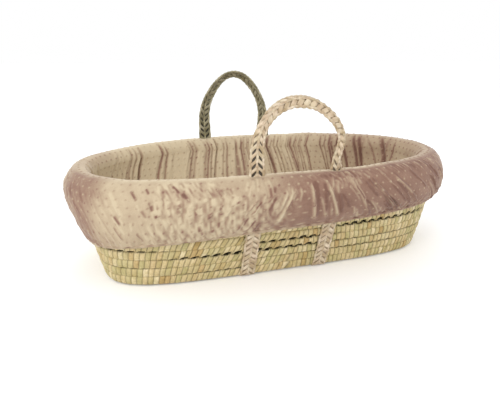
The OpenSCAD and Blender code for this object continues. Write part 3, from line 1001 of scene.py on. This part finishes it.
# %% Gathers inside
# Each bundle is its place from a side's left or right slit, and how many gathers it has.
LEFT_BUNDLES = ((-0.205, 7), (-0.120, 2), (-0.060, 5), (0.0, 7), (0.070, 4), (0.115, 6))
RIGHT_BUNDLES = ((0.0, 8), (0.055, 6), (0.110, 6), (0.165, 4), (0.215, 4), (0.255, 3), (0.290, 3))
LOOSE_GATHERS = 54
rng = np.random.default_rng(11)
folds = 0
for side, feet in ((-1, near_foot_x), (1, far_foot_x)):
    bundles = [(feet[0] + away, size) for away, size in LEFT_BUNDLES]
    bundles += [(feet[1] + away, size) for away, size in RIGHT_BUNDLES]
    for x, size in bundles:
        for number, offset in enumerate(rng.normal(0, 0.013, size)):
            deep = 1.6 if number < 2 else 1.0
            s = ring_share(x + offset, side)
            pull = 0.020 * math.exp(-((x - feet[1] - 0.03) / 0.04) ** 2) + rng.normal(0, 0.004)
            foot = inner_span * rng.uniform(0.60, 1.0)
            add_fold(s, rng.uniform(-0.012, 0.002), ring_share(x + offset + pull, side, foot), foot,
                     deep * rng.uniform(0.0014, 0.0030), -deep * rng.uniform(0.0010, 0.0022),
                     -deep * rng.uniform(0.45, 0.85), fade=0.16)
            folds += 1
for s in np.sort(rng.random(LOOSE_GATHERS)):
    x, y = skin[int(s * COLUMNS), crest_row, :2]
    foot, lean = inner_span * rng.uniform(0.45, 0.95), rng.normal(0, 0.008)
    s_foot = ring_share(x + lean, math.copysign(1, y), foot) if abs(x) < 0.32 else s + lean / RING
    add_fold(s, -rng.uniform(0.004, 0.03), s_foot, foot,
             rng.uniform(0.0024, 0.0048), rng.choice([-1, 1]) * rng.uniform(0.0008, 0.0020),
             rng.choice([-0.6, -0.35, 0.3]), fade=0.15)
    folds += 1
print(folds, "gathers")

# %% [markdown]
# Outside, short drag lines fan out under the slits, a few long ridges with painted
# highlights stand upright between the handles, and many small lines lean with the pull
# of the hem. At the left the pile is crushed, so the lines there are short.

# %% Drag lines outside
FAN_LINES, FAN_HALF = 9, 0.016
STREAKS_AT = (-0.031, 0.006, 0.038, 0.085, 0.125, 0.175)
DRAG_LINES = 420


def side_lean(x, side):
    """How far a drag line leans to the right as it falls, per metre: none between the handles
    and most beyond them. The sign turns on the far side, where the ring runs leftwards."""
    return -side * (0.75 * step_up(abs(x + 0.02), 0.07, 0.18) + 0.04)


for slit in slits:                       # under the slits
    for fan in np.linspace(-1, 1, FAN_LINES) + rng.normal(0, 0.08, FAN_LINES):
        reach = rng.uniform(0.02, 0.055)
        add_fold(slit + FAN_HALF * fan / RING, rng.uniform(0.004, 0.026),
                 slit + (FAN_HALF * fan + fan * reach * 0.22) / RING, 0.014 + reach,
                 rng.uniform(0.0020, 0.0036), rng.uniform(0.0008, 0.0020), rng.uniform(0.3, 0.7))
        folds += 1
for x in STREAKS_AT:                     # between the handles
    for side in (-1, 1):
        s = ring_share(x, side)
        lean = side_lean(x, side) + rng.normal(0, 0.05)
        add_fold(s, 0.028, s + lean * 0.09 / RING, 0.118, 0.0026, 0.0022, 1.5 if x < 0.08 else 0.8)
        folds += 1
for s in np.sort(rng.random(DRAG_LINES)):    # all over the skirt
    place = oval(even_angles([s], CREST_OUT, CREST_Z)[0], CREST_OUT, CREST_Z)[0]
    side = -1 if place[1] < 0 else 1
    lean = side_lean(place[0], side) + rng.normal(0, 0.10)
    left_crush = step_up(-place[0], 0.04, 0.12) * (1 - step_up(-place[0], 0.28, 0.34))
    run = rng.uniform(0.018, 0.060) * (1 - 0.70 * left_crush)
    low = rng.uniform(0.016, hem_span - 0.02)
    calm = 1.0 if abs(place[0]) < 0.33 else 0.25
    add_fold(s, low, s + lean * run / RING, low + run, rng.uniform(0.0014, 0.0030),
             calm * rng.uniform(0.0006, 0.0018), calm * rng.choice([-1.1, -0.7, 0.55, 0.9]))
    folds += 1
print(folds, "folds in all")

# %% [markdown]
# The hem is gathered on its elastic, so the last stretch of the skirt puckers: a fine
# ripple round the basket grows towards the edge. The rows of raised dots are a
# staggered pattern, and each dot is a little dome.

# %% Puckers and dots
CLOUD_ROWS = 200


def shares_apart(share):
    """How far each column is from a share of the way round, in metres, the short way."""
    return ((ring_s - share + 0.5) % 1 - 0.5) * RING


def cloud(cell_s, cell_d, seed, shear=0.0):
    """Soft random patches from 0 to 1: random numbers on a slanted grid that closes round the
    ring, blended between neighbours by 3t^2 - 2t^3."""
    rng = np.random.default_rng(seed)
    count = max(3, round(RING / cell_s))
    values = rng.random((count, CLOUD_ROWS))
    a = (ring_s + shear * depth / RING) % 1 * count
    b = np.broadcast_to(depth / cell_d + CLOUD_ROWS // 2, a.shape)
    i, j = np.floor(a).astype(int), np.floor(b).astype(int)
    fa, fb = a - i, b - j
    fa, fb = fa * fa * (3 - 2 * fa), fb * fb * (3 - 2 * fb)
    i, i2 = i % count, (i + 1) % count
    return ((values[i, j] * (1 - fa) + values[i2, j] * fa) * (1 - fb)
            + (values[i, j + 1] * (1 - fa) + values[i2, j + 1] * fa) * fb)


hem_near = step_up(depth, hem_span - 0.038, hem_span) * np.ones_like(ring_s)
ripple = sum(np.sin(2 * np.pi * (k * ring_s + p)) * a for k, p, a in
             ((74, 0.1, 0.4), (113, 0.6, 0.5), (151, 0.3, 0.4), (29, 0.8, 0.5)))
pucker = 0.0013 * hem_near * ripple

DOT_PITCH, DOT_ROW, DOT_R, DOT_H = 0.0175, 0.0150, 0.0030, 0.0011
dots_round = round(RING / DOT_PITCH)
row_number = np.round(depth / DOT_ROW)
column_place = ring_s * dots_round + 0.5 * (row_number % 2)
ds = (column_place - np.round(column_place)) * RING / dots_round
dd = depth - row_number * DOT_ROW
dot = np.clip(1 - (ds ** 2 + dd ** 2) / DOT_R ** 2, 0, 1) ** 1.3
dot = dot * (0.75 + 0.5 * cloud(0.05, 0.05, 21))

print("dots round the rim", dots_round)

# %% [markdown]
# The skin dips where a strap goes in, and billows softly everywhere. In some patches the
# pile is crushed into short strokes, and one such patch, low at the left of the near
# side, is dark.

# %% Relief
pinch = np.zeros_like(skin[..., 0])
for slit in slits:
    pinch -= 0.0030 * np.exp(-(shares_apart(slit) / 0.017) ** 2 - (depth / 0.011) ** 2)
billow = 0.0022 * (cloud(0.075, 0.06, 5) - 0.5) + 0.0012 * (cloud(0.030, 0.030, 6) - 0.5)
crushed = cloud(0.0036, 0.0095, 9, shear=-0.6) - 0.5
patch_s = shares_apart(ring_share(-0.19, -1))
dark_patch = np.exp(-(patch_s / 0.055) ** 2 - ((depth - 0.038) / 0.014) ** 2)
crush_share = step_up(cloud(0.12, 0.09, 8), 0.42, 0.72) * step_up(depth, 0.004, 0.02)
crush_share = np.clip(crush_share + dark_patch, 0, 1)
relief = fold_height + pucker + billow + pinch + 0.0011 * crushed * crush_share + DOT_H * dot
print("relief from", round(float(relief.min()), 4), "to", round(float(relief.max()), 4), "m")

# %% [markdown]
# Relief is laid on along the skin's own normal, which is the cross product of its two
# grid directions. Each point also gets a number for its nap, and most of it is painted
# light: painted shade towards the right, on the left end and in the folds, painted
# highlights on ridges and towards the left, broken up at random where the pile is crushed,
# and turned round on every dot, which is painted darker on pale ground and paler on dark ground.

# %% Relief and nap
def lift(surface, height):
    """Moves a ring-shaped grid of points along its normals by height."""
    du = np.roll(surface, -1, 0) - np.roll(surface, 1, 0)
    dv = np.gradient(surface, axis=1)
    return surface + unit(np.cross(dv, du)) * height[..., None]


HALF_SPAN = 0.43                         # half the whole cover, for shades along it
skin = lift(skin, relief)
x_share = skin[..., 0] / HALF_SPAN
outside = step_up(depth, -0.004, 0.012)
end_facing = -plan_normal(angles, CREST_Z)[:, None, 0]
# Painted shade on the left end and on the inner lip at the left, by which way the surface faces.
left_end_shade = step_up(end_facing, 0.62, 0.82) * (1 - step_up(skin[..., 1], -0.07, 0.03)) * outside
left_lip_shade = step_up(end_facing, 0.45, 0.75) * step_up(depth, -0.055, -0.02) * (1 - outside)
pale = 0.66 + 0.12 * (cloud(0.16, 0.08, 31) - 0.5) - 0.44 * left_end_shade - 0.30 * left_lip_shade
# Painted light: lighter towards the left, painted shade towards the right, outside and inside.
pale += outside * (-0.40 * step_up(x_share, -0.30, 0.08) + 0.12 * step_up(-x_share, 0.05, 0.45))
pale += (1 - outside) * (0.32 + 0.10 * step_up(-x_share, 0.1, 0.3)
                         - 0.36 * step_up(x_share, 0.25, 0.72))
# Painted shade in the fold valleys and painted highlights on the ridges.
nap = pale + (0.20 + 0.22 * outside) * fold_highlight - 0.62 * fold_shade - 0.22 * dark_patch * outside
nap += 0.75 * crushed * crush_share * (1 - left_end_shade) + 0.16 * (cloud(0.02, 0.02, 33) - 0.5)
# Painted light turned round on each dot: darker on pale ground, paler on dark ground.
nap += dot * np.where(nap > 0.46, -0.30 - 0.15 * (1 - outside), 0.34)
nap = np.clip(nap, 0, 1)
print("nap from", round(float(nap.min()), 2), "to", round(float(nap.max()), 2))

# %% [markdown]
# Each half of the cover is closed behind with a plain lining, so it is a padded piece
# with a real thickness. The lining is a few more rows of the same grid.

# %% Bumper and skirt
def closed_piece(name, first_row, end_row, back_line):
    """Joins the skin's rows from first_row up to end_row to a lining. back_line gives the
    lining's section from the end back to the start, as offset, height and share of the
    hem's rise. The two edges between them are marked sharp, so the lining doesn't shade
    the plush."""
    front, back = skin[:, first_row:end_row], carried_round(back_line)
    both = np.concatenate([front, back], axis=1)
    made = new_object(name, both.reshape(-1, 3),
                      grid_faces(COLUMNS, both.shape[1], True, True)[:, ::-1])
    for layer, on_front, on_back in (("nap", nap[:, first_row:end_row], LINING_NAP),
                                     ("lining", np.zeros(front.shape[:2]), 1.0)):
        mark(made, layer, np.concatenate([on_front, np.full(back.shape[:2], on_back)], axis=1))
    edges = np.empty(2 * len(made.data.edges), np.int32)
    made.data.edges.foreach_get("vertices", edges)
    on_row = edges.reshape(-1, 2) % both.shape[1]
    fold_rows = (on_row[:, 0] == on_row[:, 1]) & np.isin(on_row[:, 0], [0, front.shape[1] - 1])
    sharp = made.data.attributes.new("sharp_edge", "BOOLEAN", "EDGE")
    sharp.data.foreach_set("value", fold_rows)
    over = (first_row + np.arange(both.shape[1])) * section_length / (ROWS - 1)
    unwrap(made, np.broadcast_to(ring_s * RING, both.shape[:2]),
           np.broadcast_to(over[None, :], both.shape[:2]))
    return made


LINING_NAP = 0.30
WALL_BACK = -COURSE_T - 0.0006           # just inside the wall's inner face
SKIRT_BACK, RIM_BACK = STRAP_ROOM + 0.0004, 0.0030
inner_back = [
    [BUMPER_IN + 0.012, RIM_TOP + 0.002, 0], [WALL_BACK - 0.0045, RIM_Z - 0.004, 0],
    [WALL_BACK - 0.001, RIM_Z - 0.014, 0], [WALL_BACK, 0.62 * RIM_Z, 0],
    [WALL_BACK, 0.3 * RIM_Z, 0], [WALL_BACK, BED_Z + 0.002, 0]]
outer_back = [
    [SKIRT_BACK, HEM_Z + ELASTIC_H + 0.001, 1], [SKIRT_BACK, HEM_Z + 0.03, 0.5],
    [SKIRT_BACK, RIM_Z - 0.012, 0], [RIM_BACK, RIM_Z + 0.002, 0],
    [RIM_BACK, RIM_TOP + 0.0006, 0], [-COURSE_T - 0.0042, RIM_TOP + 0.0006, 0],
    [BUMPER_IN + 0.0125, RIM_TOP + 0.0026, 0]]
bumper = closed_piece("inner_bumper", 0, seam_row + 1, inner_back)
skirt = closed_piece("padded_skirt", seam_row, ROWS, outer_back)
print("bumper", len(bumper.data.polygons), "faces, skirt", len(skirt.data.polygons), "faces")

# %% [markdown]
# The plush is a short polyester pile. Its colour runs from reddish brown to pale beige
# with the stored nap number, which carries painted shade and painted highlights, and a
# sheen brightens it at grazing angles. A fine grain stands for single tufts.

# %% Plush material
def arithmetic(tree, operation, *values):
    """One sum or product of sockets and numbers."""
    node = add_node(tree, "Math")
    node.operation = operation
    for socket, value in zip(node.inputs, values):
        plug(tree, socket, value)
    return node.outputs[0]


def plush_material(name):
    """Colours by the stored nap number, which holds painted light and shade, broken up by tuft-sized
    grain, with the lining painted nearly black as shade.
    """
    material, tree, shader = new_material(name, (0.5, 0.4, 0.3), 0.85, sheen=0.35,
                                          sheen_tint=(1.0, 0.93, 0.84), sheen_roughness=0.35)
    tufts = streaks(tree, 700.0, 420.0, 4.0)
    blotches = streaks(tree, 120.0, 90.0, 3.0, 3.0)
    nap_and_light_value = arithmetic(tree, "MULTIPLY_ADD", blotches, 0.24, attribute(tree, "nap"))
    nap_and_light_value = arithmetic(tree, "MULTIPLY_ADD", tufts, 0.30, nap_and_light_value)
    color = ramp(tree, arithmetic(tree, "SUBTRACT", nap_and_light_value, 0.27), [
        (0.0, 0.165, 0.080, 0.055), (0.30, 0.245, 0.140, 0.097), (0.62, 0.385, 0.285, 0.190),
        (1.0, 0.540, 0.445, 0.300)])
    # The lining is painted nearly black: painted shade seen through the gaps in the wall.
    color = mixed(tree, "MIX", attribute(tree, "lining"), color, (0.045, 0.032, 0.024, 1.0))
    plug(tree, shader.inputs["Base Color"], color)
    bump(tree, shader, tufts, 0.45, 0.0009)
    return material


plush = plush_material("plush")
for piece, nodes, fill in ((bumper, ("inner_panel", "bumper_wadding"), 0.7),
                           (skirt, ("skirt_panel", "rim_wadding"), 0.6)):
    piece.data.materials.append(plush)
    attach(piece, "basket")
    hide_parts(*nodes)

# %% [markdown]
# The hem is a narrow casing with the elastic inside. It is a tube round the basket that
# follows the hem's slope, and it swells and shrinks where the cloth is bunched.

# %% Hem casing
HEM_COLUMNS, HEM_FACETS = 1100, 12
HEM_HALF_OUT, HEM_HALF_UP = 0.0022, 0.0037


def bunching(s):
    """The ripple of cloth on elastic: three sine waves of unlike lengths."""
    return (0.13 * np.sin(2 * np.pi * 97 * s) + 0.10 * np.sin(2 * np.pi * (61 * s + 0.3))
            + 0.08 * np.sin(2 * np.pi * (37 * s + 0.7)))


def hem_tube(name, out):
    """A tube round the basket along the hem: an ellipse in section, swollen by the
    bunching. Its nap number holds painted shade to the right and a painted highlight where it swells."""
    t, around = even_angles(HEM_COLUMNS, out, HEM_Z)
    s = (np.arange(HEM_COLUMNS) / HEM_COLUMNS)[:, None]
    turn = full_turn(HEM_FACETS)[None, :]
    swell = 1 + bunching(s)
    z = (HEM_Z + ELASTIC_H / 2 + hem_rise(t))[:, None] + HEM_HALF_UP * swell * np.sin(turn)
    straight = plan_normal(np.broadcast_to(t[:, None], z.shape), z)
    points = oval(t[:, None], out, z) + straight * (HEM_HALF_OUT * swell * np.cos(turn))[..., None]
    made = new_object(name, points.reshape(-1, 3), grid_faces(HEM_COLUMNS, HEM_FACETS, True, True))
    unwrap(made, np.broadcast_to(s * around, z.shape), np.broadcast_to(HEM_HALF_UP * turn, z.shape))
    # Painted shade towards the right, and painted highlights where the casing swells.
    darker = 0.32 * step_up(points[..., 0] / HALF_SPAN, -0.15, 0.30)
    mark(made, "nap", np.clip(0.62 - darker + 0.8 * bunching(s), 0, 1))
    mark(made, "lining", np.zeros(z.shape))
    return made


hem = hem_tube("hem_casing", STRAP_ROOM + 0.0019)
hem.data.materials.append(plush)
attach(hem, "basket")
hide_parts("hem_elastic")
print("hem casing", len(hem.data.polygons), "faces")

# %% [markdown]
# Under the padding, the top course is edged with a finer wrapping.

# %% Rim edging
rim_low, rim_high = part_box("rim_braid")
rim_middle = (rim_low[2] + rim_high[2]) / 2


def rim_place(s, out, up):
    """The edging's middle line runs just inside the wall's face, at the top of the wall."""
    t, _ = even_angles(s.ravel(), 0.0, RIM_Z)
    t = t.reshape(s.shape)
    edging = oval(t, 0.0, rim_middle + up) + plan_normal(t, rim_middle + up) * (out - 0.0057)[..., None]
    return slump(edging, 1.0)


RIM_WRAPS, RIM_HALF_OUT = 170, 0.0060
rim_edge = wrapped_course(
    "rim_edging", rim_place, RIM_HALF_OUT, (rim_high[2] - rim_low[2]) / 2 - 0.0014,
    RIM_WRAPS, 401, no_gap, no_gap, columns=7, facets=12, slant=0.5)
rim_edge.data.materials.append(leaf)
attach(rim_edge, "basket")
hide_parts("rim_braid")
print("rim edging", len(rim_edge.data.polygons), "faces")

# %% [markdown]
# ## Bedding
# The mattress is a foam pad in a fitted sheet. A flat pad is first built as a grid from
# the middle of its underside to the middle of its top, and then blown up a little
# with the cloth simulation, which crowns the top and softens the edge. The sheet is that
# same skin, a little larger and open underneath.

# %% Mattress
PAD_COLUMNS, PAD_RINGS = 220, 26
RING_POWER = 0.8                         # below 1, so the rings crowd towards the edge


def pad_surface(a, b, n, low, high, edge, columns, rings):
    """A closed pad: superellipses in plan, shrinking to a point in the middle of the bottom
    and of the top, with a round edge between two flat faces."""
    inward = np.linspace(0, 1, rings) ** RING_POWER
    corner = np.linspace(-np.pi / 2, np.pi / 2, 11)
    scale_in = np.concatenate([inward[:-1], np.ones(len(corner)), inward[::-1][1:]])
    flat = np.ones(rings - 1)
    margin = np.concatenate([edge * flat, edge * (1 - np.cos(corner)), edge * flat])
    side = (low + high) / 2 + (high - low) / 2 * curve(np.sin(corner), 3.0)
    height = np.concatenate([low * flat, side, high * flat])
    t = full_turn(columns)[:, None]
    x = (a - margin) * scale_in * curve(np.cos(t), n)
    y = (b - margin) * scale_in * curve(np.sin(t), n)
    return np.stack(np.broadcast_arrays(x, y, height[None, :]), -1)


def blow_up(made, voxel, pressure, frames, cap):
    """Remeshes the piece evenly, runs cloth with inner pressure and no gravity, and moves
    each point by its shift in the simulation, never further than cap."""
    bpy.context.view_layer.objects.active = made
    remesh = made.modifiers.new("remesh", "REMESH")
    remesh.mode, remesh.voxel_size = "VOXEL", voxel
    bpy.ops.object.modifier_apply(modifier=remesh.name)
    before = np.array([v.co for v in made.data.vertices])
    cloth = made.modifiers.new("cloth", "CLOTH")
    cloth.settings.use_pressure = True
    cloth.settings.uniform_pressure_force = pressure
    cloth.settings.effector_weights.gravity = 0.0
    for frame_number in range(1, frames + 1):
        bpy.context.scene.frame_set(frame_number)
    bpy.ops.object.modifier_apply(modifier=cloth.name)
    bpy.context.scene.frame_set(1)
    after = np.array([v.co for v in made.data.vertices])
    shift = after - before
    far = np.linalg.norm(shift, axis=1, keepdims=True)
    moved = before + shift * np.minimum(1, cap / np.maximum(far, 1e-9))
    made.data.vertices.foreach_set("co", moved.astype(np.float32).ravel())
    made.data.polygons.foreach_set("use_smooth", np.ones(len(made.data.polygons), bool))
    made.data.update()
    return float(far.max())


bed_low, bed_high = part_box("mattress")
bed_power = squareness(BED_Z)
pad_points = pad_surface(bed_high[0] - 0.003, bed_high[1] - 0.003, bed_power, bed_low[2] + 0.001,
                         bed_high[2] - 0.002, 0.008, PAD_COLUMNS, PAD_RINGS)
mattress = new_object("mattress_pad", pad_points.reshape(-1, 3),
                      grid_faces(PAD_COLUMNS, pad_points.shape[1], True, False))
weld(mattress)
moved_by = blow_up(mattress, voxel=0.006, pressure=4.0, frames=20, cap=0.003)
print("mattress moved by", round(moved_by, 4), "m")

# %% [markdown]
# The sheet's skin is open underneath, where its elastic holds it. It creases finely
# round the edge, lies in low lumps on top, and rises to a soft crown.

# %% Fitted sheet
SHEET_COLUMNS, SHEET_RINGS = 420, 60
OPEN_SHARE = 0.80                        # the opening under the mattress, of its half width
sheet_low, sheet_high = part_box("fitted_sheet")
sheet_points = pad_surface(sheet_high[0] - 0.001, sheet_high[1] - 0.001, bed_power, sheet_low[2] + 0.0012,
                           sheet_high[2] + 0.001, 0.012, SHEET_COLUMNS, SHEET_RINGS)
open_rows = int(np.argmax(np.linspace(0, 1, SHEET_RINGS) ** RING_POWER > OPEN_SHARE))
sheet_points = sheet_points[:, open_rows:]
ring_angle = full_turn(SHEET_COLUMNS)[:, None]
row_share = np.linspace(0, 1, sheet_points.shape[1])[None, :]
edge_near = np.exp(-((row_share - 0.33) / 0.10) ** 2)
creases = sum(a * np.sin(k * ring_angle + p)
              for k, a, p in ((37, 0.6, 0.4), (53, 0.5, 1.7), (91, 0.35, 2.9)))
top_near = step_up(row_share, 0.36, 0.5)
crown = 0.0045 * step_up(row_share, 0.42, 0.95)
lump = sum(a * np.sin(u * sheet_points[..., 0] + v * sheet_points[..., 1] + p)
           for u, v, a, p in ((24, 31, 0.5, 0.2), (-41, 22, 0.4, 1.1), (63, -48, 0.25, 2.2),
                              (18, -70, 0.25, 0.7)))
sheet_points[..., 2] += 0.0006 * creases * edge_near + crown + 0.0007 * lump * top_near
sheet = new_object("fitted_sheet_cloth", sheet_points.reshape(-1, 3),
                   grid_faces(SHEET_COLUMNS, sheet_points.shape[1], True, False))
weld(sheet)
thick = sheet.modifiers.new("thickness", "SOLIDIFY")
thick.thickness, thick.offset = 0.0009, -1.0
print("sheet", len(sheet.data.polygons), "faces")

# %% [markdown]
# Foam is nearly white and quite plain. The sheet is cotton jersey, whose knit shows as
# a fine even grain.

# %% Bedding materials
def knit_material(name, color, second, scale, depth_m, roughness):
    """A cloth or foam with a small even grain of cells, and faint cloudy shade."""
    material, tree, shader = new_material(name, color, roughness, sheen=0.15)
    place = add_node(tree, "TexCoord").outputs["Object"]
    shade = add_node(tree, "TexNoise", Vector=place, Scale=14.0).outputs["Fac"]
    color = mixed(tree, "MIX", shade, (*color, 1.0), (*second, 1.0))
    plug(tree, shader.inputs["Base Color"], color)
    grain = add_node(tree, "TexVoronoi", Vector=place, Scale=scale)
    bump(tree, shader, grain.outputs["Distance"], 0.4, depth_m)
    return material


foam = knit_material("foam", (0.86, 0.84, 0.78), (0.78, 0.75, 0.66), 420.0, 0.0008, 0.9)
jersey = knit_material("cotton_jersey", (0.80, 0.74, 0.64), (0.72, 0.65, 0.54), 900.0, 0.0004, 0.8)
mattress.data.materials.append(foam)
sheet.data.materials.append(jersey)
for piece, node, slot_name in ((mattress, "mattress", "foam"), (sheet, "fitted_sheet", "sheet")):
    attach(piece, "basket")
    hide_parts(node)
print("bedding in place")
